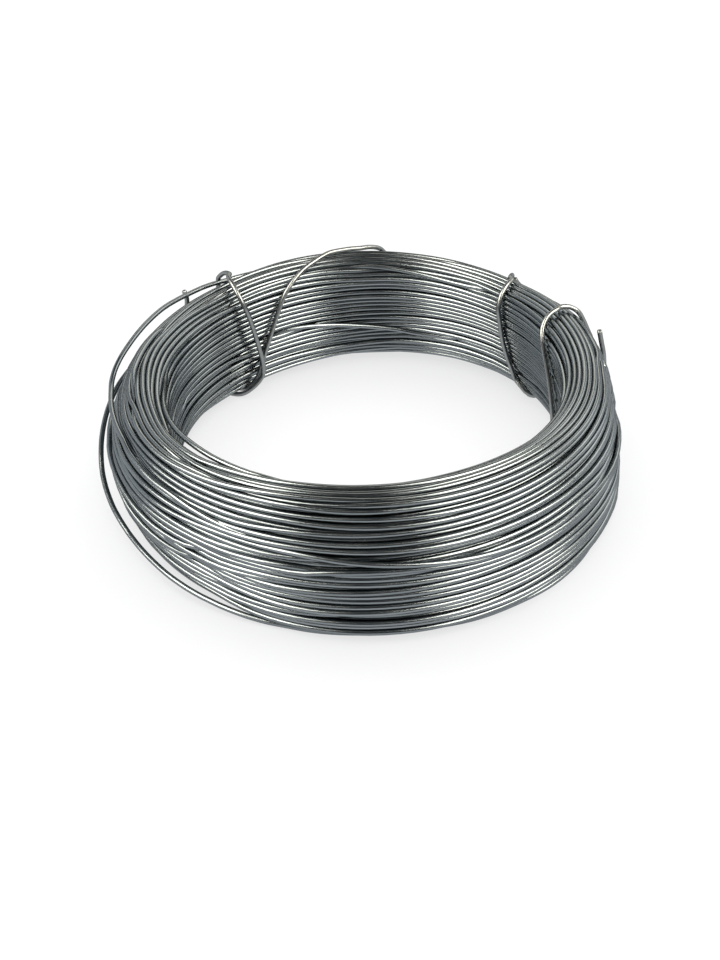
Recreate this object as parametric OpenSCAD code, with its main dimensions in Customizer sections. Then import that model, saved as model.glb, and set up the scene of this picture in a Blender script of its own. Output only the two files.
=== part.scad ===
// Coil of steel wire, lying on its side on the floor and held by three tie wires.
// The origin is on the coil's axis at floor level, +Z points up along the axis.
// Azimuth is measured from +X towards +Y. All lengths are in millimetres.

/* [Wire] */
// Diameter of the wound wire
wire_d = 2; // [1.5:0.1:3]
// Diameter of the tie wire
tie_d = 2; // [1.5:0.1:3]
// Distance between neighbouring turns, in wire diameters
turn_pitch = 1.07; // [1.03:0.01:1.2]
// Gap between a tie or a loose turn and the turns that it lies on
seat_gap = 0.3; // [0.2:0.05:0.5]

/* [Coil] */
// Bore between the innermost turns
bore_d = 146; // [110:1:160]
// Outside diameter over the widest turns
coil_d = 200; // [190:1:240]
// Height of the wound turns
coil_h = 50; // [44:1:70]
// Height above the lowest turn at which the outside starts to lean in
shoulder_h = 30; // [22:1:32]
// Amount by which the outside has leaned in at the shoulder
shoulder_lean = 1.2; // [0.5:0.1:3]
// Width of the crown between the bore and the sloping outside
crown_w = 13.5; // [11:0.5:16]

/* [Corner rounding] */
// Radius of the section's outer foot
foot_r = 5; // [3:0.5:6]
// Radius of the shoulder
shoulder_r = 24; // [12:1:28]
// Radius of the crown's outer edge
crown_r = 6; // [4:0.5:7]
// Radius of the bore's top edge
lip_r = 7; // [4:0.5:8]
// Radius of the bore's bottom edge
heel_r = 7; // [4:0.5:8]

/* [Hidden] */
round_fn = 180;
wire_fn = 32;
arc_steps = 8;
tube_sides = 10;
tie_rings_per_station = 12;
turn_ring_angle = 2.5;
wire_colour = "#6d7377";
tie_colour = "#868c8f";

wire_r = wire_d / 2;
tie_r = tie_d / 2;
// The coil lies on its ties and on its lowest loose turn
lift = max(wire_d, tie_d) + seat_gap;
in_r = bore_d / 2 + wire_r;
out_r = coil_d / 2 - wire_r;
low_z = lift + wire_r;
top_z = lift + coil_h - wire_r;
wall = out_r - in_r;
// The crown ends at the latest just inside the shoulder
crown_edge_r = min(in_r + crown_w, out_r - 2 * shoulder_lean);
crown_reach = crown_edge_r - in_r;

// Section through the centres of the outermost turns: corner place and rounding.
// Station 0 is the outer foot, 1 the shoulder, 2 the crown's outer edge,
// 3 the bore's top edge and 4 its bottom edge. Half stations lie midway along the sides.
// A rounding is limited by the wall that it lies on.
corners = [
    [out_r, low_z, min(foot_r, 0.4 * wall)],
    [out_r - shoulder_lean, low_z + shoulder_h, shoulder_r],
    [crown_edge_r, top_z, min(crown_r, 0.5 * crown_reach)],
    [in_r, top_z, min(lip_r, 0.55 * crown_reach)],
    [in_r, low_z, min(heel_r, 0.4 * wall)],
];
corner_count = len(corners);

// Stand-off, in tie diameters, at which a tie clears a loose turn that it crosses
over_turn = (wire_d + 2 * seat_gap) / tie_d;

// Places along a tie: [station, azimuth, stand-off from its seat in tie diameters]
left_tie_keys = [
    [0.7, 83, 0], [1.3, 83.2, 0.1], [1.75, 84, 0.15], [2, 85.6, 0.4], [2.2, 89.4, 0.65],
    [2.4, 93.2, 0.75], [2.7, 98, 0.75], [2.85, 103, 0.8], [2.95, 108, 0.6], [3.08, 112.6, 0.5],
    [3.25, 117, 0.5], [3.5, 122.6, 0.45], [3.62, 125.4, 0.3], [3.75, 127.8, 0.08], [3.86, 129.2, 0],
    [3.95, 130.6, 0], [4.1, 131.6, 0], [4.25, 132, 0], [4.5, 132, 0], [5, 131.8, 0], [5.4, 131.4, 0],
    [5.9, 131, 0.1], [6.44, 130.6, 0.2], [6.8, 130.6, over_turn], [7.1, 130.4, over_turn + 0.2],
    [7.4, 130.8, 1.5], [7.65, 131.4, 1.5], [8, 133.4, 1.4], [8.19, 132.8, 1.4], [8.38, 130.4, 1.4],
    [8.62, 127.8, 1.45], [8.72, 127.6, 1.45], [8.78, 128.9, 1.4], [8.84, 130.6, 1.3],
    [8.92, 132.8, 1.05], [9.02, 134.2, 0.7], [9.14, 135.2, 0.3], [9.25, 136, 0.1], [9.5, 137, 0],
    [10, 139, 0], [10.5, 139.6, 0], [11, 139.8, 0.2], [11.4, 140.6, 0.6], [11.75, 141.6, 1.4],
];
back_tie_keys = [
    [1.35, 47, 0.15], [1.6, 46.4, 0.25], [1.85, 45.2, 0.35], [2.1, 43.8, 0.35], [2.35, 42.6, 0.35],
    [2.75, 41.4, 0.35], [2.93, 40.4, 0.3], [3.14, 39, 0.2], [3.31, 38.2, 0.15], [3.44, 38, 0.1],
    [3.5, 37, 0.1], [3.56, 35.8, 0.1], [3.62, 33.6, 0.1], [3.69, 31.4, 0.1], [3.8, 29.4, 0.1],
    [3.95, 28, 0.1], [4.15, 27.4, 0.05], [4.4, 28, 0], [5, 32, 0.12], [5.4, 36, 0], [5.9, 40, 0],
    [6.4, 42.4, 0.1], [6.6, 42.8, 0.25], [6.75, 42.6, 0.4],
];
right_tie_keys = [
    [0.4, 20.5, 0], [0.8, 20.4, 0], [1.3, 20, 0.05], [1.6, 19.4, 0.15], [1.85, 19.6, 0.25],
    [2.1, 20.4, 0.4], [2.44, 20.6, 0.35], [2.83, 19.6, 0.2], [3, 18.2, 0.15], [3.16, 16, 0.1],
    [3.31, 13.6, 0.1], [3.44, 10.4, 0.1], [3.65, 6.8, 0.1], [4, 5.2, 0.1], [4.4, 5.6, 0], [5, 9, 0],
    [5.4, 12.6, 0], [5.8, 14.4, 0.05], [6.1, 14, 0.15], [6.3, 12.8, 0.3], [6.5, 11.8, 0.6],
    [6.72, 11, 1],
];

// Places along a loose turn: [azimuth, station, stand-off from its seat in wire diameters]
upper_turn_keys = [
    [119, 1.9, 0], [129, 1.86, 0], [136, 1.76, 0], [144, 1.69, 0], [155, 1.63, 0], [166, 1.6, 0.05],
    [172, 1.59, 0.15], [177, 1.57, 0.2], [182, 1.55, 0.1], [187, 1.55, 0], [196, 1.56, 0],
    [205, 1.54, 0], [214.5, 1.48, 0], [226, 1.42, 0], [238, 1.3, 0], [248, 1.2, 0],
];
lower_turn_keys = [
    [150, 0.82, 0], [157, 0.8, 0], [163, 0.77, 0], [168, 0.72, 0.3], [173, 0.66, 0.6], [178, 0.56, 0.75],
    [183, 0.42, 0.8], [188, 0.26, 0.8], [193, 0.1, 0.7], [198, -0.02, 0.55], [204, -0.1, 0.4],
    [212, -0.16, 0.2], [222, -0.19, 0.1], [240, -0.21, 0.05], [260, -0.22, 0.05], [300, -0.2, 0.05],
    [335, -0.22, 0],
];

function unit(v) = v / norm(v);

// Heading of a side of the section, from one corner to the next
function heading(i) =
    let (a = corners[i % corner_count], b = corners[(i + 1) % corner_count])
    atan2(b[1] - a[1], b[0] - a[0]);

// Outward normal of a side: the section runs anticlockwise
function side_normal(i) = heading(i) - 90;

// Turn from one side to the next at a corner
function corner_turn(i) = (heading(i) - heading(i + corner_count - 1) + 720) % 360;

// Centre of a corner's rounding
function corner_centre(i) =
    let (
        c = corners[i],
        reach = c[2] / cos(corner_turn(i) / 2),
        out = side_normal(i) - corner_turn(i) / 2
    )
    [c[0] - reach * cos(out), c[1] - reach * sin(out)];

// The section as a list of [station, r, z, outward normal]
section = [
    for (i = [0 : corner_count - 1], k = [0 : arc_steps])
        let (
            share = k / arc_steps,
            out = side_normal(i) - corner_turn(i) * (1 - share),
            full_turn = i > 0 && out < 0 ? 360 : 0,
            c = corner_centre(i)
        )
        [
            i - 0.25 + share / 2,
            c[0] + corners[i][2] * cos(out),
            c[1] + corners[i][2] * sin(out),
            out + full_turn,
        ]
];
full_circle = 360;
closed_section = concat(section, [section[0] + [corner_count, 0, 0, full_circle]]);
station_r = [for (p = closed_section) [p[0], p[1]]];
station_z = [for (p = closed_section) [p[0], p[2]]];
station_out = [for (p = closed_section) [p[0], p[3]]];

// A station brought into the section's own range
function wrapped(s) = s - corner_count * floor((s - section[0][0]) / corner_count);

// Point of the section at a station, moved outwards by gap, no lower than floor_z
function section_point(s, gap, floor_z) =
    let (w = wrapped(s), out = lookup(w, station_out))
    [lookup(w, station_r) + gap * cos(out), max(floor_z, lookup(w, station_z) + gap * sin(out))];

function at_azimuth(p, azimuth) = [p[0] * cos(azimuth), p[0] * sin(azimuth), p[1]];

// Length along the section up to each of its points
function section_step(i) = let (d = closed_section[i] - closed_section[i - 1]) norm([d[1], d[2]]);
section_length = [
    for (i = 0, s = 0; i < len(closed_section); i = i + 1,
         s = i < len(closed_section) ? s + section_step(i) : s) s
];
length_station = [for (i = [0 : len(closed_section) - 1]) [section_length[i], closed_section[i][0]]];
section_total = section_length[len(section_length) - 1];
turn_count = floor(section_total / (wire_d * turn_pitch));

// Centres of the outermost turns, evenly spaced round the section
turn_centres = [
    for (i = [0 : turn_count - 1])
        let (s = lookup(i * section_total / turn_count, length_station))
        [lookup(s, station_r), lookup(s, station_z)]
];

// Smooth curve through keys at place t, counted in keys
function smooth(keys, t) =
    let (
        last = len(keys) - 1,
        i = min(floor(t), last - 1),
        f = t - i,
        a = keys[max(i - 1, 0)],
        b = keys[i],
        c = keys[i + 1],
        d = keys[min(i + 2, last)]
    )
    b + f * ((c - a) / 2 + f * (a - 2.5 * b + 2 * c - d / 2 + f * (1.5 * (b - c) + (d - a) / 2)));

// Line of a tie wire through its keys
function tie_path(keys) =
    let (rings = round((keys[len(keys) - 1][0] - keys[0][0]) * tie_rings_per_station))
    [
        for (i = [0 : rings])
            let (k = smooth(keys, i * (len(keys) - 1) / rings))
            at_azimuth(section_point(k[0], wire_r + seat_gap + tie_r + tie_d * max(0, k[2]), tie_r), k[1])
    ];

// Line of a loose turn through its keys
function loose_path(keys) =
    let (rings = round((keys[len(keys) - 1][0] - keys[0][0]) / turn_ring_angle))
    [
        for (i = [0 : rings])
            let (k = smooth(keys, i * (len(keys) - 1) / rings))
            at_azimuth(section_point(k[1], wire_d + seat_gap + wire_d * max(0, k[2]), wire_r), k[0])
    ];

// Direction of a path at its point i
function tangent(path, i) = unit(path[min(i + 1, len(path) - 1)] - path[max(i - 1, 0)]);

// Side directions along a path, carried from point to point without twisting
function carried(side, along) = unit(side - (side * along) * along);
function sides_of(path, first) = [
    for (i = 0, s = carried(first, tangent(path, 0)); i < len(path); i = i + 1,
         s = i < len(path) ? carried(s, tangent(path, i)) : s) s
];

// Round wire of diameter d along a path, as one closed solid
module wire(path, d, first_side) {
    rings = len(path);
    side = sides_of(path, first_side);
    points = [
        for (i = [0 : rings - 1], k = [0 : tube_sides - 1])
            let (a = 360 * k / tube_sides)
            path[i] + d / 2 * (cos(a) * side[i] + sin(a) * cross(tangent(path, i), side[i]))
    ];
    walls = [
        for (i = [0 : rings - 2], k = [0 : tube_sides - 1])
            let (a = i * tube_sides + k, b = i * tube_sides + (k + 1) % tube_sides)
            each [[a, a + tube_sides, b + tube_sides], [a, b + tube_sides, b]]
    ];
    start_cap = [[for (k = [0 : tube_sides - 1]) k]];
    end_cap = [[for (k = [tube_sides - 1 : -1 : 0]) (rings - 1) * tube_sides + k]];
    polyhedron(points, concat(start_cap, end_cap, walls), convexity = 8);
}

// The wound turns: a turned body whose every outer turn shows as a round wire
module wire_coil() {
    color(wire_colour)
        rotate_extrude($fn = round_fn) {
            polygon(turn_centres);
            for (c = turn_centres)
                translate(c)
                    circle(d = wire_d, $fn = wire_fn);
        }
}

module loose_turn(keys) {
    color(wire_colour)
        wire(loose_path(keys), wire_d, [0, 0, 1]);
}

module tie(keys) {
    first = keys[0];
    color(tie_colour)
        wire(tie_path(keys), tie_d, [-sin(first[1]), cos(first[1]), 0]);
}

wire_coil();
loose_turn(upper_turn_keys);  // upper_loose_turn
loose_turn(lower_turn_keys);  // lower_loose_turn
tie(left_tie_keys);  // left_tie
tie(back_tie_keys);  // back_tie
tie(right_tie_keys);  // right_tie
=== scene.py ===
"""Coil of steel wire: its wound turns, loose turns and three ties, with a studio and a camera."""

import bpy
import numpy as np
from mathutils import Matrix, Vector


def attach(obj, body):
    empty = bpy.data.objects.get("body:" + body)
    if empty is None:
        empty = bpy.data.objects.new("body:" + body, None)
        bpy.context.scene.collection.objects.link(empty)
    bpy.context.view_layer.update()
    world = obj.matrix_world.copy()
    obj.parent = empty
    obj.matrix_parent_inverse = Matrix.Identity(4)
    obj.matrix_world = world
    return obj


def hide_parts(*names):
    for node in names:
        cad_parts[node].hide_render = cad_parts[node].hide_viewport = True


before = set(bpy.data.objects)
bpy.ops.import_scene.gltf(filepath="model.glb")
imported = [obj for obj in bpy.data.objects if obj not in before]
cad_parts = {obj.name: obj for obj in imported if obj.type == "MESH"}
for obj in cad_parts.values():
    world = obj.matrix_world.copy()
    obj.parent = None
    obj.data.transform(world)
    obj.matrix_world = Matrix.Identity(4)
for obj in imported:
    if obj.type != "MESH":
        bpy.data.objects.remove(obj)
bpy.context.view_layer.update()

# Sizes in millimetres, as in the part; MM turns them into metres
MM = 0.001
WIRE_D = 2.0
TIE_D = 2.0
SEAT_GAP = 0.3
BORE_D = 146.0
COIL_D = 200.0
COIL_H = 50.0
SHOULDER_H = 30.0
SHOULDER_LEAN = 1.2
CROWN_W = 13.5
CORNER_R = (5.0, 24.0, 6.0, 7.0, 7.0)
LIFT = max(WIRE_D, TIE_D) + SEAT_GAP
WIRE_R = WIRE_D / 2
TIE_R = TIE_D / 2

# Steps of a corner's rounding, the share of a side that two roundings may take, and what counts as nothing
ARC_STEPS = 8
ROUNDING_SHARE = 0.95
SMALL = 1e-6
TINY = 1e-9

# The winding: slices round the axis, steps from turn to turn and from layer to layer, how far a turn wanders
# from its place, and how far it may stand out of the outline
SEED = 11
SLICES = 120
TURN_STEP = 2.22
LAYER_STEP = 1.97
WANDER = 0.6
WANDER_WAVES = 5
BULGE = 0.25
BULGE_WANDER = 0.35
BULGE_LIMIT = 1.5

# How the turns settle: rounds, rounds from search to search for neighbours, reach of a search, distance of
# touching turns, share of an overlap that a round mends, stiffness along the wire, pull towards a turn's own
# place and towards a crossing route, and the share of the rounds that pull
SETTLE_ROUNDS = 150
SEARCH_EVERY = 10
NEAR = 1.5 * WIRE_D
TOUCHING = 1.01 * WIRE_D
PUSH = 0.55
SPRING = 0.22
PULL = 0.02
ROUTE_PULL = 0.25
PULL_SHARE = 0.7

# How a tie is eased off the wires that it lies on: rounds, smoothing in a round, and clearance
CLEAR_ROUNDS = 30
EASE = 0.3
TIE_CLEARANCE = 0.05

# Points along a loose or crossing turn, and points for each key of a tie
PATH_POINTS = 200
KEY_POINTS = 15

# Meshes: sides of the wires, pieces of the wound wire, bevel of a cut end in radii, steps between rings, and
# a direction that no single wire starts along
TURN_SIDES = 10
TIE_SIDES = 14
TURN_PIECES = 4
END_BEVEL = 0.25
LOOSE_RING_STEP = 1.6
TIE_RING_STEP = 0.8
SIDE_GUIDE = (0.3, 0.2, 1.0)

# UV map and attribute: names, margins beside a turn and at the ends and sides of a single wire, and places
# of the caps
UV_MAP = "OFBake"
TONE = "tone"
TURN_UV_MARGIN = 0.04
WIRE_UV_MARGINS = (0.02, 0.05)
TURN_CAP_UV = (0.001, 0.001)
WIRE_CAP_UV = (0.01, 0.01)

# Steel of the wound wire and of the ties: darkest and palest tone, roughness where bright and where dull,
# and the scale of the draw marks along and round the wire
WOUND_DARK = (0.146, 0.165, 0.177)
WOUND_PALE = (0.254, 0.281, 0.295)
WOUND_ROUGHNESS = (0.18, 0.28)
WOUND_MARKS = (6.0, 700.0, 1.0)
TIE_DARK = (0.18, 0.193, 0.196)
TIE_PALE = (0.29, 0.304, 0.305)
TIE_ROUGHNESS = (0.26, 0.36)
TIE_MARKS = (30.0, 14.0, 1.0)

# Both steels: tint of the grazing reflection, detail of the draw marks and their share in the tone, scale,
# detail and range of the dull patches, and strength and depth in millimetres of the marks' relief
EDGE_TINT = (0.5, 0.5, 0.5)
MARK_DETAIL = 3.0
MARK_SHARE = 0.5
PATCH_SCALE = 90.0
PATCH_DETAIL = 4.0
PATCH_RANGE = (0.3, 0.7)
RELIEF_STRENGTH = 0.05
RELIEF_DEPTH = 0.05

# Tones along the wires: rings between changes and range on the wound wire; range and count on a single wire
TONE_STEP = 80
WOUND_TONES = (0, 0.6)
LOOSE_TONES = (0.1, 0.5, 6)
TIE_TONES = (0.1, 0.6, 8)

# How the hand-wound bundle departs from the turned form: (azimuth, outward, upward) at each corner of the
# section, which are the outer foot, the shoulder, the crown's outer edge, the bore's top edge and its bottom
# edge
CORNER_SHIFTS = (
    (
        (0, -1.5, 0), (15, -1.5, 0), (40, 0, 0), (120, 0, 0), (165, -2.4, 0), (190, -3.4, 0),
        (198, -4.8, 0.4), (207, -6.5, 0.8), (216, -7.4, 0.8), (236, -6.8, 0.6), (248, -4, 0), (262, 0, 0),
        (285, 0, 0), (310, -0.2, 0), (325, -0.9, 0), (335, -1, 0), (345, -0.4, 0), (352, -0.7, 0),
    ),
    (
        (5, -0.9, 0), (12, -0.6, 0), (28, -0.8, 0), (40, 0, 0), (100, 0, 0), (112, -1.2, -0.6),
        (150, -2.6, -1.2), (172, -3.4, -0.6), (182, -3.8, 0), (192, -3.8, 0), (203, -2, 0), (215, 0, 0),
        (318, 0, 0), (330, 0.5, 0), (340, 0, 0), (347, -2.2, 0), (353, -4.8, 0), (358, -3.6, 0),
    ),
    (
        (8, 0, 0), (16, 0.6, 0.8), (24, 0.2, 0.2), (30, -0.5, -0.8), (40, -1, -1.9), (56, -1, -1.9),
        (70, -0.4, -1), (85, -0.2, -0.4), (102, -0.2, -0.1), (115, -1.2, -0.6), (128, -2.8, -1.8),
        (140, -3.4, -2.2), (158, -3.4, -2.2), (172, -2.6, -0.8), (195, -0.6, 0), (215, 0, 0), (330, 0, 0),
    ),
    (
        (10, 0.5, 0), (24, 0, -0.2), (36, 0, -1), (58, 0, -1.2), (76, 0, -0.8), (100, 0, -0.9),
        (118, 0, -1.2), (150, 0, -1.6), (180, 0, -0.6), (195, 0.4, 0), (206, 4.2, -1.2), (213, 6.2, -2),
        (227, 6.2, -2), (238, 3.4, -1), (250, 0.6, -0.2), (262, 0, 0), (296, 0, 0), (306, 1.2, -0.4),
        (318, 2.4, -0.5), (332, 2.4, -0.2), (350, 1.6, 0),
    ),
    (
        (0, 3.4, 1.2), (15, 5.6, 2.6), (30, 6.9, 3.5), (45, 7.4, 3.7), (60, 6.8, 3.6), (78, 5.2, 2.8),
        (90, 3, 1.6), (105, 0.8, 0.5), (120, 0, 0), (165, -1.2, 0), (175, -1.6, 0), (188, -1.6, 0),
        (205, 0, 0), (320, 0, 0), (345, 1.5, 0.6),
    ),
)

# Stand-off, in tie diameters, at which a tie clears a loose turn that it crosses
OVER_TURN = (WIRE_D + 2 * SEAT_GAP) / TIE_D

# Places along a tie, near those in the part: (station, azimuth, stand-off from its seat in tie diameters).
# Stations count the corners of the section from the outer foot, anticlockwise, and half stations lie midway.
TIES = {
    "left_tie": (
        (0.7, 81.6, 0), (1.3, 82, 0), (1.75, 83.4, 0.05), (2, 85.4, 0.15), (2.2, 88.6, 0.45),
        (2.4, 92.6, 0.7), (2.7, 97.6, 0.8), (2.85, 103, 0.8), (2.95, 108, 0.6), (3.08, 112.6, 0.5),
        (3.25, 117, 0.5), (3.5, 122.6, 0.45), (3.62, 125.4, 0.3), (3.75, 127.8, 0.08), (3.86, 129.2, 0),
        (3.95, 130.6, 0), (4.1, 131.6, 0), (4.25, 132, 0), (4.5, 132, 0), (5, 131.8, 0), (5.4, 131.4, 0),
        (5.9, 131, 0.1), (6.44, 130.6, 0.2), (6.8, 130.6, OVER_TURN), (7.1, 130.4, OVER_TURN + 0.2),
        (7.4, 130.8, 1.5), (7.65, 131.4, 1.5), (8, 133.4, 1.4), (8.19, 132.8, 1.4), (8.38, 130.4, 1.4),
        (8.62, 127.8, 1.45), (8.72, 127.6, 1.45), (8.78, 128.9, 1.4), (8.84, 130.6, 1.3),
        (8.92, 132.8, 1.05), (9.02, 134.2, 0.7), (9.14, 135.2, 0.3), (9.25, 136, 0.1), (9.5, 137, 0),
        (10, 139, 0), (10.5, 139.6, 0), (11, 139.8, 0.2), (11.35, 140.4, 0.6), (11.62, 141.2, 1.4),
        (11.72, 141.6, 2.5),
    ),
    "back_tie": (
        (1.35, 47, 0.15), (1.6, 46.4, 0.25), (1.85, 45.2, 0.35), (2.1, 43.8, 0.35), (2.35, 42.6, 0.35),
        (2.75, 41.6, 0.35), (2.93, 40.8, 0.3), (3.14, 40, 0.2), (3.31, 39.6, 0.1), (3.44, 39.4, 0.05),
        (3.5, 39, 0), (3.58, 38, 0), (3.66, 36.6, 0), (3.74, 35.2, 0), (3.8, 33.8, 0), (3.87, 32.4, 0),
        (3.95, 31.2, 0), (4.05, 30.6, 0), (4.2, 30.6, 0), (4.5, 31.4, 0), (5, 34, 0), (5.4, 37.6, 0),
        (5.9, 41, 0), (6.4, 44.2, 0.1), (6.58, 44.8, 0.2), (6.7, 45, 0.3),
    ),
    "right_tie": (
        (0.4, 20.5, 0), (0.8, 20.4, 0), (1.3, 20, 0.05), (1.6, 19.4, 0), (1.85, 19.6, 0), (2.1, 20.4, 0.05),
        (2.44, 20.6, 0.1), (2.83, 19.6, 0.15), (3, 18.2, 0.15), (3.16, 16, 0.1), (3.31, 13.6, 0.1),
        (3.44, 10.4, 0.1), (3.65, 6.8, 0.1), (4, 5.2, 0.1), (4.4, 5.6, 0), (5, 9, 0), (5.4, 12.6, 0),
        (5.8, 14.4, 0), (6.1, 14, 0.05), (6.3, 12.8, 0.15), (6.5, 11.8, 0.45), (6.72, 11, 0.9),
    ),
}

# Places along a loose turn: (azimuth, station, stand-off in millimetres from its seat on the turned form).
# The bundle recedes where a stand-off is below zero.
LOOSE_TURNS = {
    "upper_loose_turn": (
        (98, 1.72, -5.6), (108, 1.72, -4.8), (118, 1.74, -3.6), (128, 1.76, -2.6), (131.8, 1.81, -2.2),
        (136.4, 1.85, -1.7), (141.3, 1.85, -1.3), (145.9, 1.85, -0.8), (151.1, 1.83, -0.3),
        (157.4, 1.82, -0.3), (163.4, 1.8, -0.3), (169.1, 1.75, -0.1), (174.9, 1.7, 0.4), (178.7, 1.64, 0.6),
        (182.4, 1.58, 0.4), (186.1, 1.56, 0), (191.7, 1.56, 0), (196.4, 1.56, 0), (200.7, 1.56, 0),
        (205.4, 1.55, 0), (209.9, 1.51, 0), (214.5, 1.49, 0), (220, 1.45, -0.1), (226.3, 1.43, -0.4),
        (232.4, 1.37, -1.2), (240, 1.3, -2.4), (250, 1.22, -4),
    ),
    "lower_loose_turn": (
        (140, 0.88, -5), (148, 0.86, -2.8), (156, 0.82, -1.1), (163.3, 0.77, -0.6), (167, 0.74, -0.3),
        (170, 0.71, -0.1), (177.3, 0.64, 0), (185, 0.55, 0), (191.3, 0.43, -0.2), (199, 0.33, -1.4),
        (204, 0.29, -2.3), (208.6, 0.25, -3.1), (213.2, 0.19, -3.5), (218.4, 0.12, -3.6),
        (223.4, 0.08, -3.4), (228, 0.02, -3.2), (232.3, -0.045, -2.9), (236.3, -0.11, -2.5),
        (244.6, -0.185, -1.5), (248.2, -0.21, -1.1), (252.7, -0.24, -0.8), (260, -0.24, -0.5),
        (276, -0.25, -0.4), (285, -0.24, -0.1), (293, -0.205, 0.3), (302, -0.19, 0.6), (312, -0.155, 0.7),
        (322, -0.16, 0.5), (332, -0.2, 0), (345, -0.28, 0),
    ),
}

# Turns that leave their place and run over their neighbours: (azimuth, station, stand-off in millimetres)
CROSSING_TURNS = (
    (
        (258, 1.09, 0), (266, 1.07, 0.9), (276, 1.04, 1.9), (285.5, 0.97, 1.9), (293.2, 0.92, 1.9),
        (303.2, 0.88, 1.4), (312, 0.85, 0.6), (322, 0.83, 0),
    ),
    ((60, 3.66, 0), (72, 3.64, 1.2), (84, 3.6, 1.8), (98, 3.56, 1.8), (110, 3.52, 1), (120, 3.5, 0)),
    (
        (186, 3.12, 0), (196, 3.12, 0.5), (206, 3.1, 2.4), (214, 3.08, 3.9), (222, 3.06, 4.2),
        (232, 3.05, 2.8), (240, 3.05, 1.4), (252, 3.05, 0),
    ),
    (
        (174, 0.98, 0), (184, 0.97, 1.2), (194, 0.93, 2.2), (206, 0.86, 2.2), (218, 0.78, 1.4),
        (232, 0.72, 0),
    ),
    (
        (176, 0.84, 0), (187, 0.82, 1.2), (197, 0.76, 2.2), (208, 0.68, 2.2), (220, 0.6, 1.2),
        (234, 0.55, 0),
    ),
    (
        (178, 0.68, 0), (190, 0.65, 1.2), (200, 0.58, 2.2), (212, 0.5, 2.2), (224, 0.43, 1.2),
        (238, 0.4, 0),
    ),
)


def periodic(keys, azimuth):
    """Values of keys (azimuth, ...) at an azimuth, joined up round the axis."""
    table = np.array(keys, dtype=float)
    return np.stack([np.interp(azimuth, table[:, 0], column, period=360) for column in table[:, 1:].T], -1)


def section_corners(azimuth):
    """Corners (r, z) of the line through the outermost turns at an azimuth; None gives the turned form."""
    low = LIFT + WIRE_R
    top = low + COIL_H - WIRE_D
    inner = BORE_D / 2 + WIRE_R
    outer = COIL_D / 2 - WIRE_R
    corners = np.array((
        (outer, low),
        (outer - SHOULDER_LEAN, low + SHOULDER_H),
        (inner + CROWN_W, top),
        (inner, top),
        (inner, low),
    ))
    if azimuth is None:
        return corners
    return corners + np.array([periodic(keys, azimuth) for keys in CORNER_SHIFTS])


def rounded_outline(corners):
    """Rows (station, r, z, outward angle) along the section, anticlockwise from its outer foot."""
    sides = np.roll(corners, -1, axis=0) - corners
    headings = np.arctan2(sides[:, 1], sides[:, 0])
    turns = (headings - np.roll(headings, 1)) % (2 * np.pi)
    tangents = np.array(CORNER_R) * np.tan(turns / 2)
    room = np.hypot(sides[:, 0], sides[:, 1]) / (tangents + np.roll(tangents, -1))
    radii = np.array(CORNER_R) * np.minimum(1, ROUNDING_SHARE * np.minimum(room, np.roll(room, 1)))
    rows = []
    for i, (corner, turn, radius) in enumerate(zip(corners, turns, radii)):
        first = headings[i - 1] - np.pi / 2
        if i > 0 and first < -SMALL:
            first += 2 * np.pi
        middle = first + turn / 2
        centre = corner - radius / np.cos(turn / 2) * np.array((np.cos(middle), np.sin(middle)))
        for share in np.linspace(0, 1, ARC_STEPS + 1):
            out = first + turn * share
            point = centre + radius * np.array((np.cos(out), np.sin(out)))
            rows.append((i - 0.25 + share / 2, *point, out))
    return np.array(rows)


def outline_planes(outline):
    """Edges of an outline as outward normals and offsets."""
    p = outline[:, 1:3]
    edge = np.roll(p, -1, axis=0) - p
    length = np.maximum(np.hypot(edge[:, 0], edge[:, 1]), TINY)
    normal = np.stack((edge[:, 1], -edge[:, 0]), 1) / length[:, None]
    return normal, np.sum(normal * p, axis=1)


def section_point(outline, station, gap, floor_z):
    """Point (r, z) of the section at a station, moved outwards by a gap, no lower than floor_z."""
    first = outline[0]
    closed = np.vstack((outline, first + np.array((len(CORNER_R), 0, 0, 2 * np.pi))))
    s = first[0] + (station - first[0]) % len(CORNER_R)
    out = np.interp(s, closed[:, 0], closed[:, 3])
    r = np.interp(s, closed[:, 0], closed[:, 1]) + gap * np.cos(out)
    z = np.interp(s, closed[:, 0], closed[:, 2]) + gap * np.sin(out)
    return np.array((r, max(z, floor_z)))


def smooth_keys(keys, count):
    """Rows on a smooth curve through keys."""
    table = np.array(keys, dtype=float)
    last = len(table) - 1
    t = np.linspace(0, last, count)
    i = np.minimum(t.astype(int), last - 1)
    f = (t - i)[:, None]
    a = table[np.maximum(i - 1, 0)]
    b = table[i]
    c = table[i + 1]
    d = table[np.minimum(i + 2, last)]
    return b + f * ((c - a) / 2 + f * (a - 2.5 * b + 2 * c - d / 2 + f * (1.5 * (b - c) + (d - a) / 2)))


def smooth_noise(rng, rows, columns, waves):
    """Rows of noise that join up round the axis, a sum of a few long waves."""
    theta = np.linspace(0, 2 * np.pi, columns, endpoint=False)
    total = np.zeros((rows, columns))
    for k in range(1, waves + 1):
        amplitude = rng.normal(size=(rows, 1)) / np.sqrt(k)
        phase = rng.uniform(0, 2 * np.pi, size=(rows, 1))
        total += amplitude * np.cos(k * theta + phase)
    return total / np.sqrt(sum(0.5 / k for k in range(1, waves + 1)))


def column_span(planes, r):
    """Lowest and highest z inside an outline at radius r."""
    normal, offset = planes
    rest = offset - normal[:, 0] * r
    up = normal[:, 1] > TINY
    down = normal[:, 1] < -TINY
    return np.max(rest[down] / normal[down, 1]), np.min(rest[up] / normal[up, 1])


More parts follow.
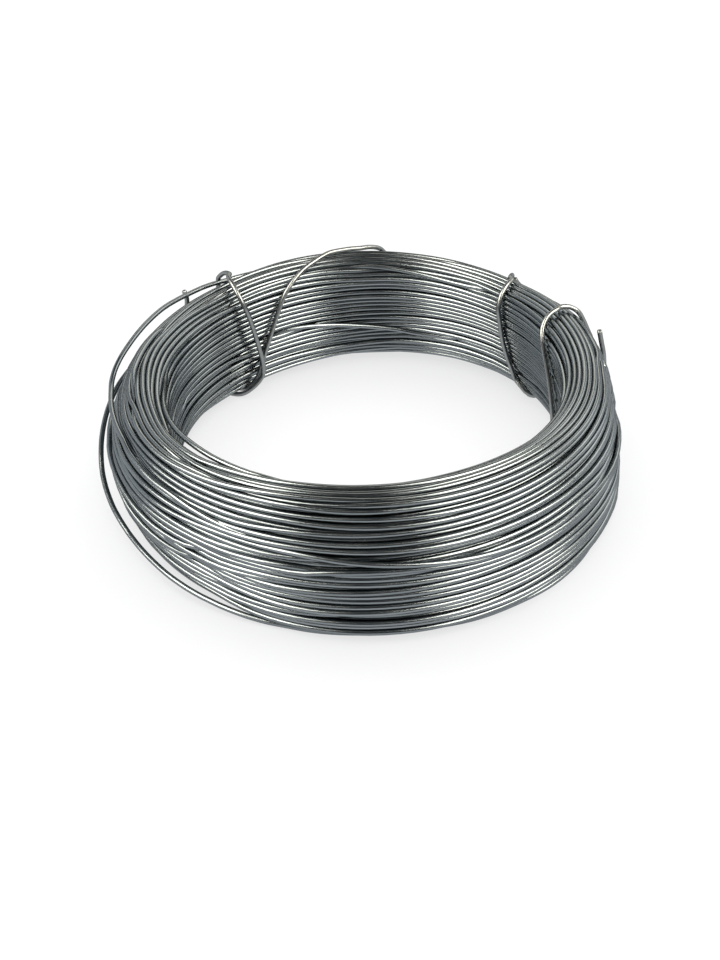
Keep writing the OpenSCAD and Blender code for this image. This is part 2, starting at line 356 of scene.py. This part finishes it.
def winding_slots(outline):
    """Places (r, z) of the turns in winding order: layer on layer from the bore, up and down in turn."""
    planes = outline_planes(outline)
    slots = []
    layers = np.arange(outline[:, 1].min(), outline[:, 1].max() + SMALL, LAYER_STEP)
    for number, r in enumerate(layers):
        low, high = column_span(planes, r)
        if high < low:
            continue
        count = max(2, int((high - low) / TURN_STEP) + 1)
        heights = np.linspace(low, high, count)
        slots += [(r, z) for z in (heights if number % 2 == 0 else heights[::-1])]
    return np.array(slots)


def corner_shares(points):
    """Shares of the section's corners at points inside it, smooth, and linear along its sides."""
    spokes = section_corners(None)[None] - points[:, None]
    following = np.roll(spokes, -1, axis=1)
    cross = spokes[..., 0] * following[..., 1] - spokes[..., 1] * following[..., 0]
    half_tan = np.tan(np.arctan2(cross, np.sum(spokes * following, axis=-1)) / 2)
    reach = np.maximum(np.hypot(spokes[..., 0], spokes[..., 1]), TINY)
    shares = (half_tan + np.roll(half_tan, 1, axis=1)) / reach
    return shares / shares.sum(axis=1, keepdims=True)


def crossing_targets(slots, target, bulge, pull, outlines):
    """Gives a turn of the outermost layer to each crossing route, with room to ride over its neighbours."""
    azimuths = np.arange(SLICES) * 360 / SLICES
    taken = set()
    for keys in CROSSING_TURNS:
        start = section_point(outlines[0], keys[0][1], 0, 0)
        order = np.argsort(np.hypot(*(slots - start).T))
        turn = next(int(t) for t in order if int(t) not in taken)
        taken.update((turn - 1, turn, turn + 1))
        rows = smooth_keys(keys, PATH_POINTS)
        for s, azimuth in enumerate(azimuths):
            if not rows[0, 0] <= azimuth <= rows[-1, 0]:
                continue
            station = np.interp(azimuth, rows[:, 0], rows[:, 1])
            gap = np.interp(azimuth, rows[:, 0], rows[:, 2])
            target[turn, s] = section_point(outlines[s], station, gap, 0)
            bulge[turn, s] = max(bulge[turn, s], gap)
            pull[turn, s] = ROUTE_PULL


def near_pairs(x):
    """Pairs of turns that lie near each other, as two lists of turns and one of slices."""
    found = []
    for s in range(x.shape[1]):
        apart = x[:, None, s] - x[None, :, s]
        i, j = np.nonzero(np.triu(np.einsum("ijc,ijc->ij", apart, apart) < NEAR ** 2, 1))
        found.append((i, j, np.full(len(i), s)))
    return [np.concatenate(c) for c in zip(*found)]


def settle(target, normal, offset, bulge, pull):
    """Pushes overlapping turns apart in rounds; each stays near its place and within its bulge."""
    x = target.copy()
    turns, slices, _ = x.shape
    places = turns * slices
    for step in range(SETTLE_ROUNDS):
        if step % SEARCH_EVERY == 0:
            i, j, s = near_pairs(x)
        delta = x[i, s] - x[j, s]
        dist = np.hypot(delta[:, 0], delta[:, 1]) + TINY
        short = np.maximum(0, TOUCHING - dist)
        push = delta / dist[:, None] * (0.5 * short)[:, None]
        move = np.stack([
            np.bincount(i * slices + s, along, places) - np.bincount(j * slices + s, along, places)
            for along in push.T
        ], 1).reshape(turns, slices, 2)
        x = x + PUSH * move
        flat = x.reshape(-1, 2)
        ahead = np.vstack((flat[1:], flat[-1:])).reshape(x.shape)
        behind = np.vstack((flat[:1], flat[:-1])).reshape(x.shape)
        x = x + SPRING * ((ahead + behind) / 2 - x)
        if step < SETTLE_ROUNDS * PULL_SHARE:
            x = x + pull[..., None] * (target - x)
        out = np.einsum("tsc,snc->tsn", x, normal) - offset[None] - bulge[..., None]
        worst = np.argmax(out, axis=2)
        depth = np.maximum(0, np.take_along_axis(out, worst[..., None], 2)[..., 0])
        x = x - depth[..., None] * normal[np.arange(slices)[None], worst]
    return x


def wind_coil():
    """Centres (turn, slice, (r, z)) of the wound turns, one continuous wire from the bore outwards."""
    rng = np.random.default_rng(SEED)
    azimuths = np.arange(SLICES) * 360 / SLICES
    slots = winding_slots(rounded_outline(section_corners(None)))
    turns = len(slots)
    following = np.vstack((slots[1:], slots[-1:]))
    share = np.arange(SLICES) / SLICES
    target = slots[:, None] + (following - slots)[:, None] * share[None, :, None]
    shifts = np.stack([section_corners(azimuth) for azimuth in azimuths]) - section_corners(None)
    target = target + np.einsum("tk,skc->tsc", corner_shares(slots), shifts)
    wander = [smooth_noise(rng, turns, SLICES, WANDER_WAVES) for _ in range(2)]
    target = target + WANDER * np.stack(wander, -1)
    stand_out = np.clip(smooth_noise(rng, turns, SLICES, WANDER_WAVES), -BULGE_LIMIT, BULGE_LIMIT)
    bulge = BULGE + BULGE_WANDER * stand_out
    pull = np.full((turns, SLICES), PULL)
    outlines = [rounded_outline(section_corners(azimuth)) for azimuth in azimuths]
    crossing_targets(slots, target, bulge, pull, outlines)
    planes = [outline_planes(outline) for outline in outlines]
    normal = np.stack([p[0] for p in planes])
    offset = np.stack([p[1] for p in planes])
    return settle(target, normal, offset, bulge, pull)


def bundle_at(turns, azimuth):
    """Centres (r, z) of all turns at an azimuth."""
    place = (azimuth % 360) / 360 * SLICES
    low = int(place) % SLICES
    share = place - int(place)
    flat = turns.reshape(-1, 2)
    index = np.arange(len(turns)) * SLICES + low
    ahead = np.minimum(index + 1, len(flat) - 1)
    return flat[index] * (1 - share) + flat[ahead] * share


def wires_at(turns, loose, azimuth):
    """Centres (r, z) of all turns at an azimuth, with the loose turns that reach it."""
    centres = [bundle_at(turns, azimuth)]
    for path in loose:
        if path[0, 2] <= azimuth <= path[-1, 2]:
            centres.append(np.array([[np.interp(azimuth, path[:, 2], path[:, c]) for c in range(2)]]))
    return np.vstack(centres)


def clear_of(path, around, distance, floor_z):
    """Moves a path (r, z, azimuth) away from the wires around each of its points, and off the floor."""
    place = path.copy()
    for _ in range(CLEAR_ROUNDS):
        for k, centres in enumerate(around):
            delta = place[k, :2] - centres
            dist = np.hypot(delta[:, 0], delta[:, 1]) + TINY
            nearest = int(np.argmin(dist))
            if dist[nearest] < distance:
                place[k, :2] += delta[nearest] / dist[nearest] * (distance - dist[nearest])
        place[1:-1, :2] += EASE * ((place[:-2, :2] + place[2:, :2]) / 2 - place[1:-1, :2])
        place[:, 1] = np.maximum(place[:, 1], floor_z)
    return place


def loose_path(keys):
    """Rows (r, z, azimuth) of a loose turn."""
    plain = rounded_outline(section_corners(None))
    return np.array([
        (*section_point(plain, station, WIRE_D + SEAT_GAP + gap, WIRE_R), azimuth)
        for azimuth, station, gap in smooth_keys(keys, PATH_POINTS)
    ])


def tie_path(keys):
    """Rows (r, z, azimuth) of a tie laid on the bundle."""
    rows = []
    for station, azimuth, gap in smooth_keys(keys, KEY_POINTS * len(keys)):
        outline = rounded_outline(section_corners(azimuth))
        stand_off = WIRE_R + SEAT_GAP + TIE_R + TIE_D * max(0, gap)
        rows.append((*section_point(outline, station, stand_off, TIE_R), azimuth))
    return np.array(rows)


def to_points(path):
    """Rows (r, z, azimuth in degrees) as points in millimetres."""
    azimuth = np.radians(path[:, 2])
    return np.stack((path[:, 0] * np.cos(azimuth), path[:, 0] * np.sin(azimuth), path[:, 1]), 1)


def evenly(points, step):
    """The same path with points a step apart."""
    length = np.r_[0, np.cumsum(np.linalg.norm(np.diff(points, axis=0), axis=1))]
    count = max(2, int(length[-1] / step) + 1)
    at = np.linspace(0, length[-1], count)
    return np.stack([np.interp(at, length, column) for column in points.T], 1)


def make_piece(name, vertices, faces, uv, tone, material):
    """Mesh object in metres with a UV map, a tone for each vertex and smooth shading."""
    mesh = bpy.data.meshes.new(name)
    mesh.from_pydata((vertices * MM).tolist(), [], faces)
    layer = mesh.uv_layers.new(name=UV_MAP)
    layer.uv.foreach_set("vector", np.asarray(uv, dtype=np.float32).ravel())
    attribute = mesh.attributes.new(TONE, "FLOAT", "POINT")
    attribute.data.foreach_set("value", np.asarray(tone, dtype=np.float32))
    mesh.shade_smooth()
    mesh.materials.append(material)
    piece = bpy.data.objects.new(name, mesh)
    bpy.context.scene.collection.objects.link(piece)
    return piece


def ring_faces(rings, sides):
    """Quads between rings of vertices that follow each other."""
    i, k = np.meshgrid(np.arange(rings - 1), np.arange(sides), indexing="ij")
    a = (i * sides + k).ravel()
    b = (i * sides + (k + 1) % sides).ravel()
    return np.stack((a, b, b + sides, a + sides), 1)


def wall_places(walls, sides):
    """Ring and side of each corner of the walls; the side counts on to its full number at the seam."""
    side = walls % sides
    seam = (side == 0) & (side.max(axis=1, keepdims=True) == sides - 1)
    return walls // sides, np.where(seam, sides, side)


def turn_piece(name, centres, tone, material):
    """A run of whole wound turns as one tube; centres are (r, z) rows of the wire from azimuth 0."""
    rings = len(centres)
    azimuth = 2 * np.pi * np.arange(rings) / SLICES
    around = 2 * np.pi * np.arange(TURN_SIDES) / TURN_SIDES
    r = centres[:, :1] + WIRE_R * np.cos(around)
    z = centres[:, 1:] + WIRE_R * np.sin(around)
    vertices = np.stack((r * np.cos(azimuth)[:, None], r * np.sin(azimuth)[:, None], z), -1).reshape(-1, 3)
    walls = ring_faces(rings, TURN_SIDES)[:, ::-1]
    ring, side = wall_places(walls, TURN_SIDES)
    first = ring.min(axis=1, keepdims=True)
    rows = int(np.ceil(rings / SLICES))
    u = (first % SLICES + ring - first) / SLICES
    v = (first // SLICES + TURN_UV_MARGIN + (1 - 2 * TURN_UV_MARGIN) * side / TURN_SIDES) / rows
    uv = np.vstack((np.stack((u, v), -1).reshape(-1, 2), np.tile(TURN_CAP_UV, (2 * TURN_SIDES, 1))))
    last = (rings - 1) * TURN_SIDES
    caps = [list(range(TURN_SIDES)), list(range(last + TURN_SIDES - 1, last - 1, -1))]
    return make_piece(name, vertices, walls.tolist() + caps, uv, np.repeat(tone, TURN_SIDES), material)


def tube_piece(name, points, diameter, tone, material):
    """A single wire along points, with a small bevel round its cut ends."""
    ahead = np.vstack((points[1:], points[-1:] * 2 - points[-2:-1]))
    behind = np.vstack((points[:1] * 2 - points[1:2], points[:-1]))
    tangent = ahead - behind
    tangent /= np.linalg.norm(tangent, axis=1, keepdims=True)
    across = np.cross(tangent[0], SIDE_GUIDE)
    frames = []
    for t in tangent:
        across = across - across.dot(t) * t
        across = across / np.linalg.norm(across)
        frames.append((across, np.cross(t, across)))
    frames = np.array(frames)
    frames = np.concatenate((frames[:1], frames, frames[-1:]))
    radius = diameter / 2
    bevel = END_BEVEL * radius
    centre = np.vstack((points[0] - bevel * tangent[0], points, points[-1] + bevel * tangent[-1]))
    rings = len(centre)
    radii = np.full(rings, radius)
    radii[[0, -1]] = radius - bevel
    around = 2 * np.pi * np.arange(TIE_SIDES) / TIE_SIDES
    spokes = np.cos(around)[None, :, None] * frames[:, :1] + np.sin(around)[None, :, None] * frames[:, 1:]
    vertices = (centre[:, None] + radii[:, None, None] * spokes).reshape(-1, 3)
    walls = ring_faces(rings, TIE_SIDES)
    ring, side = wall_places(walls, TIE_SIDES)
    end_margin, side_margin = WIRE_UV_MARGINS
    u = end_margin + (1 - 2 * end_margin) * ring / (rings - 1)
    v = side_margin + (1 - 2 * side_margin) * side / TIE_SIDES
    uv = np.vstack((np.stack((u, v), -1).reshape(-1, 2), np.tile(WIRE_CAP_UV, (2 * TIE_SIDES, 1))))
    last = (rings - 1) * TIE_SIDES
    caps = [list(range(TIE_SIDES - 1, -1, -1)), list(range(last, last + TIE_SIDES))]
    tones = np.interp(np.linspace(0, 1, rings), np.linspace(0, 1, len(tone)), tone)
    return make_piece(name, vertices, walls.tolist() + caps, uv, np.repeat(tones, TIE_SIDES), material)


def add_node(tree, kind, values=None, **settings):
    """A new node with its settings and the values of its sockets."""
    node = tree.nodes.new(kind)
    for key, value in settings.items():
        setattr(node, key, value)
    for key, value in (values or {}).items():
        node.inputs[key].default_value = value
    return node


def link_all(tree, links):
    """Links between sockets, each given as (from, to)."""
    for source, target in links:
        tree.links.new(source, target)


def steel_material(name, dark, pale, rough, mark_scale):
    """Drawn steel: a tone that changes slowly along the wire, fine draw marks along it and dull patches."""
    material = bpy.data.materials.new(name)
    material.use_nodes = True
    tree = material.node_tree
    shader = tree.nodes["Principled BSDF"]
    shader.inputs["Metallic"].default_value = 1.0
    shader.inputs["Specular Tint"].default_value = (*EDGE_TINT, 1)
    tone = add_node(tree, "ShaderNodeAttribute", attribute_name=TONE)
    uv = add_node(tree, "ShaderNodeUVMap", uv_map=UV_MAP)
    stretch = add_node(tree, "ShaderNodeMapping", {"Scale": mark_scale})
    marks = add_node(tree, "ShaderNodeTexNoise", {"Scale": 1.0, "Detail": MARK_DETAIL})
    place = add_node(tree, "ShaderNodeTexCoord")
    patches = add_node(tree, "ShaderNodeTexNoise", {"Scale": PATCH_SCALE, "Detail": PATCH_DETAIL})
    grey = add_node(tree, "ShaderNodeMix", {"A": (*dark, 1), "B": (*pale, 1)}, data_type="RGBA")
    mixed = add_node(tree, "ShaderNodeMath", {1: MARK_SHARE}, operation="MULTIPLY_ADD")
    dull = add_node(tree, "ShaderNodeMapRange", {
        "From Min": PATCH_RANGE[0], "From Max": PATCH_RANGE[1], "To Min": rough[0], "To Max": rough[1],
    })
    relief = add_node(tree, "ShaderNodeBump", {"Strength": RELIEF_STRENGTH, "Distance": RELIEF_DEPTH * MM})
    link_all(tree, (
        (uv.outputs["UV"], stretch.inputs["Vector"]),
        (stretch.outputs["Vector"], marks.inputs["Vector"]),
        (place.outputs["Object"], patches.inputs["Vector"]),
        (marks.outputs["Fac"], mixed.inputs[0]),
        (tone.outputs["Fac"], mixed.inputs[2]),
        (mixed.outputs[0], grey.inputs["Factor"]),
        (grey.outputs["Result"], shader.inputs["Base Color"]),
        (patches.outputs["Fac"], dull.inputs["Value"]),
        (dull.outputs["Result"], shader.inputs["Roughness"]),
        (marks.outputs["Fac"], relief.inputs["Height"]),
        (relief.outputs["Normal"], shader.inputs["Normal"]),
    ))
    return material


def dress(piece, node):
    """Lets a piece ride on the one body in place of a node."""
    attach(piece, "root")
    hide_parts(node)


def build_coil():
    """The wound turns, the loose turns and the ties."""
    wound = steel_material("wound_wire_steel", WOUND_DARK, WOUND_PALE, WOUND_ROUGHNESS, WOUND_MARKS)
    tied = steel_material("tie_wire_steel", TIE_DARK, TIE_PALE, TIE_ROUGHNESS, TIE_MARKS)
    turns = wind_coil()
    rng = np.random.default_rng(SEED + 1)
    flat = turns.reshape(-1, 2)
    slow = rng.uniform(*WOUND_TONES, len(flat) // TONE_STEP + 2)
    tone = np.interp(np.arange(len(flat)), np.arange(len(slow)) * TONE_STEP, slow)
    bounds = np.linspace(0, len(turns), TURN_PIECES + 1).astype(int) * SLICES
    for number, (first, last) in enumerate(zip(bounds[:-1], bounds[1:]), 1):
        stop = min(last + 1, len(flat))
        piece = turn_piece(f"wound_turns_{number}", flat[first:stop], tone[first:stop], wound)
        dress(piece, "wire_coil")
    loose = []
    for name, keys in LOOSE_TURNS.items():
        path = loose_path(keys)
        loose.append(path)
        points = evenly(to_points(path), LOOSE_RING_STEP)
        piece = tube_piece(f"{name}_wire", points, WIRE_D, rng.uniform(*LOOSE_TONES), wound)
        dress(piece, name)
    for name, keys in TIES.items():
        path = tie_path(keys)
        around = [wires_at(turns, loose, azimuth) for azimuth in path[:, 2]]
        eased = clear_of(path, around, WIRE_R + TIE_R + TIE_CLEARANCE, TIE_R)
        points = evenly(to_points(eased), TIE_RING_STEP)
        piece = tube_piece(f"{name}_wire", points, TIE_D, rng.uniform(*TIE_TONES), tied)
        dress(piece, name)


# Floor, in metres: half its width, its colour and roughness, and its share of own white
FLOOR_HALF = 60.0
FLOOR_COLOUR = (0.9, 0.9, 0.9)
FLOOR_ROUGHNESS = 0.9
FLOOR_WHITE = 0.7

# Upright softboxes, in metres: distance from the axis, colour, and for each its (azimuth, height of the
# middle, width, height, radiance)
LIGHT_REACH = 0.98
LIGHT_COLOUR = (1.0, 0.93, 0.81)
SOFTBOXES = {
    "left_softbox": (202, 1.4, 1.03, 2.0, 9.3),
    "right_softbox": (329.5, 1.4, 1.06, 2.0, 9.0),
    "back_softbox": (90, 0.68, 0.8, 0.5, 2.3),
    "side_softbox": (27, 0.7, 0.6, 0.8, 1.9),
}

# Soft light from above that whitens the floor: strength and angle
FLOOR_LIGHT = 3.7
FLOOR_LIGHT_ANGLE = 110

# Surroundings: dim, pale at the back sides and white at the horizon. The pale part comes up over ranges of a
# direction's share to the back, sideways and upwards, and the white goes over a range of its share upwards.
WORLD_DIM = (0.05, 0.055, 0.06)
WORLD_PALE = (0.77, 0.82, 0.86)
WORLD_WHITE = (1.0, 1.0, 1.0)
WORLD_BACK = (0.0, 0.55)
WORLD_SIDE = (0.2, 0.55)
WORLD_HIGH = (0.0, 0.3)
WORLD_HORIZON = (0.1, 0.2)


def build_floor():
    """Wide pale floor: camera and reflections see a share of it as plain white, the rest with shadows."""
    mesh = bpy.data.meshes.new("floor")
    corners = [(x * FLOOR_HALF, y * FLOOR_HALF, 0) for x, y in ((-1, -1), (1, -1), (1, 1), (-1, 1))]
    mesh.from_pydata(corners, [], [(0, 1, 2, 3)])
    floor = bpy.data.objects.new("floor", mesh)
    bpy.context.scene.collection.objects.link(floor)
    material = bpy.data.materials.new("pale_floor")
    material.use_nodes = True
    tree = material.node_tree
    shader = tree.nodes["Principled BSDF"]
    shader.inputs["Base Color"].default_value = (*FLOOR_COLOUR, 1)
    shader.inputs["Roughness"].default_value = FLOOR_ROUGHNESS
    shader.inputs["Specular IOR Level"].default_value = 0.0
    white = add_node(tree, "ShaderNodeEmission")
    ray = add_node(tree, "ShaderNodeLightPath")
    seen = add_node(tree, "ShaderNodeMath", operation="MAXIMUM")
    seen_through = add_node(tree, "ShaderNodeMath", operation="MAXIMUM")
    share = add_node(tree, "ShaderNodeMath", {1: FLOOR_WHITE}, operation="MULTIPLY")
    mix = add_node(tree, "ShaderNodeMixShader")
    link_all(tree, (
        (ray.outputs["Is Camera Ray"], seen.inputs[0]),
        (ray.outputs["Is Glossy Ray"], seen.inputs[1]),
        (seen.outputs[0], seen_through.inputs[0]),
        (ray.outputs["Is Transmission Ray"], seen_through.inputs[1]),
        (seen_through.outputs[0], share.inputs[0]),
        (share.outputs[0], mix.inputs["Fac"]),
        (shader.outputs["BSDF"], mix.inputs[1]),
        (white.outputs["Emission"], mix.inputs[2]),
        (mix.outputs["Shader"], tree.nodes["Material Output"].inputs["Surface"]),
    ))
    mesh.materials.append(material)


def build_lights():
    """Softboxes that the steel mirrors, and a soft light for the floor that it doesn't mirror."""
    for name, (azimuth, middle, width, height, radiance) in SOFTBOXES.items():
        lamp = bpy.data.lights.new(name, "AREA")
        lamp.shape = "RECTANGLE"
        lamp.size = width
        lamp.size_y = height
        lamp.color = LIGHT_COLOUR
        lamp.energy = radiance * np.pi * width * height
        a = np.radians(azimuth)
        way = Vector((np.cos(a), np.sin(a), 0))
        holder = bpy.data.objects.new(name, lamp)
        holder.location = LIGHT_REACH * way + Vector((0, 0, middle))
        holder.rotation_euler = way.to_track_quat("Z", "Y").to_euler()
        holder.visible_diffuse = False
        holder.visible_camera = False
        bpy.context.scene.collection.objects.link(holder)
    lamp = bpy.data.lights.new("floor_light", "SUN")
    lamp.energy = FLOOR_LIGHT
    lamp.angle = np.radians(FLOOR_LIGHT_ANGLE)
    holder = bpy.data.objects.new("floor_light", lamp)
    holder.visible_glossy = False
    bpy.context.scene.collection.objects.link(holder)


def smooth_ramp(tree, span):
    """Node that rises smoothly from 0 to 1 over a span."""
    values = {"From Min": span[0], "From Max": span[1]}
    return add_node(tree, "ShaderNodeMapRange", values, interpolation_type="SMOOTHSTEP")


def build_world():
    """Surroundings of the studio, which the steel mirrors."""
    world = bpy.data.worlds.new("studio")
    bpy.context.scene.world = world
    world.use_nodes = True
    tree = world.node_tree
    place = add_node(tree, "ShaderNodeTexCoord")
    parts = add_node(tree, "ShaderNodeSeparateXYZ")
    sideways = add_node(tree, "ShaderNodeMath", operation="ABSOLUTE")
    back = smooth_ramp(tree, WORLD_BACK)
    side = smooth_ramp(tree, WORLD_SIDE)
    above = smooth_ramp(tree, WORLD_HIGH)
    horizon = smooth_ramp(tree, WORLD_HORIZON)
    both = add_node(tree, "ShaderNodeMath", operation="MULTIPLY")
    all_three = add_node(tree, "ShaderNodeMath", operation="MULTIPLY")
    tint = add_node(tree, "ShaderNodeMix", {"A": (*WORLD_DIM, 1), "B": (*WORLD_PALE, 1)}, data_type="RGBA")
    sky = add_node(tree, "ShaderNodeMix", {"A": (*WORLD_WHITE, 1)}, data_type="RGBA")
    link_all(tree, (
        (place.outputs["Generated"], parts.inputs["Vector"]),
        (parts.outputs["Y"], back.inputs["Value"]),
        (parts.outputs["X"], sideways.inputs[0]),
        (sideways.outputs[0], side.inputs["Value"]),
        (parts.outputs["Z"], above.inputs["Value"]),
        (parts.outputs["Z"], horizon.inputs["Value"]),
        (back.outputs["Result"], both.inputs[0]),
        (side.outputs["Result"], both.inputs[1]),
        (both.outputs[0], all_three.inputs[0]),
        (above.outputs["Result"], all_three.inputs[1]),
        (all_three.outputs[0], tint.inputs["Factor"]),
        (horizon.outputs["Result"], sky.inputs["Factor"]),
        (tint.outputs["Result"], sky.inputs["B"]),
        (sky.outputs["Result"], tree.nodes["Background"].inputs["Color"]),
    ))


# Camera as found from the photograph, for a picture of 720 by 960: its target, distance and sensor are in
# millimetres, its near limit in metres
PICTURE = (720, 960)
CAMERA_TARGET = (0, 0, 20)
CAMERA_ELEVATION = 34.9
CAMERA_REACH = 498.56
CAMERA_ROLL = -1.55
FOCAL_PIXELS = 1289.38
PRINCIPAL_POINT = (363.81, 426.89)
SENSOR = 36.0
NEAR_LIMIT = 0.01


def build_camera():
    """Camera at the photograph's viewing angle and framing."""
    e = np.radians(CAMERA_ELEVATION)
    roll = np.radians(CAMERA_ROLL)
    right = Vector((1, 0, 0))
    up = Vector((0, np.sin(e), np.cos(e)))
    back = Vector((0, -np.cos(e), np.sin(e)))
    across = np.cos(roll) * right + np.sin(roll) * up
    upward = np.cos(roll) * up - np.sin(roll) * right
    data = bpy.data.cameras.new("camera")
    data.sensor_width = SENSOR
    data.lens = FOCAL_PIXELS * SENSOR / max(PICTURE)
    data.shift_x = -(PRINCIPAL_POINT[0] - PICTURE[0] / 2) / max(PICTURE)
    data.shift_y = -(PICTURE[1] / 2 - PRINCIPAL_POINT[1]) / max(PICTURE)
    data.clip_start = NEAR_LIMIT
    camera = bpy.data.objects.new("camera", data)
    rotation = Matrix((across, upward, back)).transposed().to_4x4()
    place = (Vector(CAMERA_TARGET) + CAMERA_REACH * back) * MM
    camera.matrix_world = Matrix.Translation(place) @ rotation
    bpy.context.scene.collection.objects.link(camera)
    bpy.context.scene.camera = camera


build_camera()
build_coil()
build_floor()
build_lights()
build_world()
bpy.context.scene.view_settings.view_transform = "Standard"
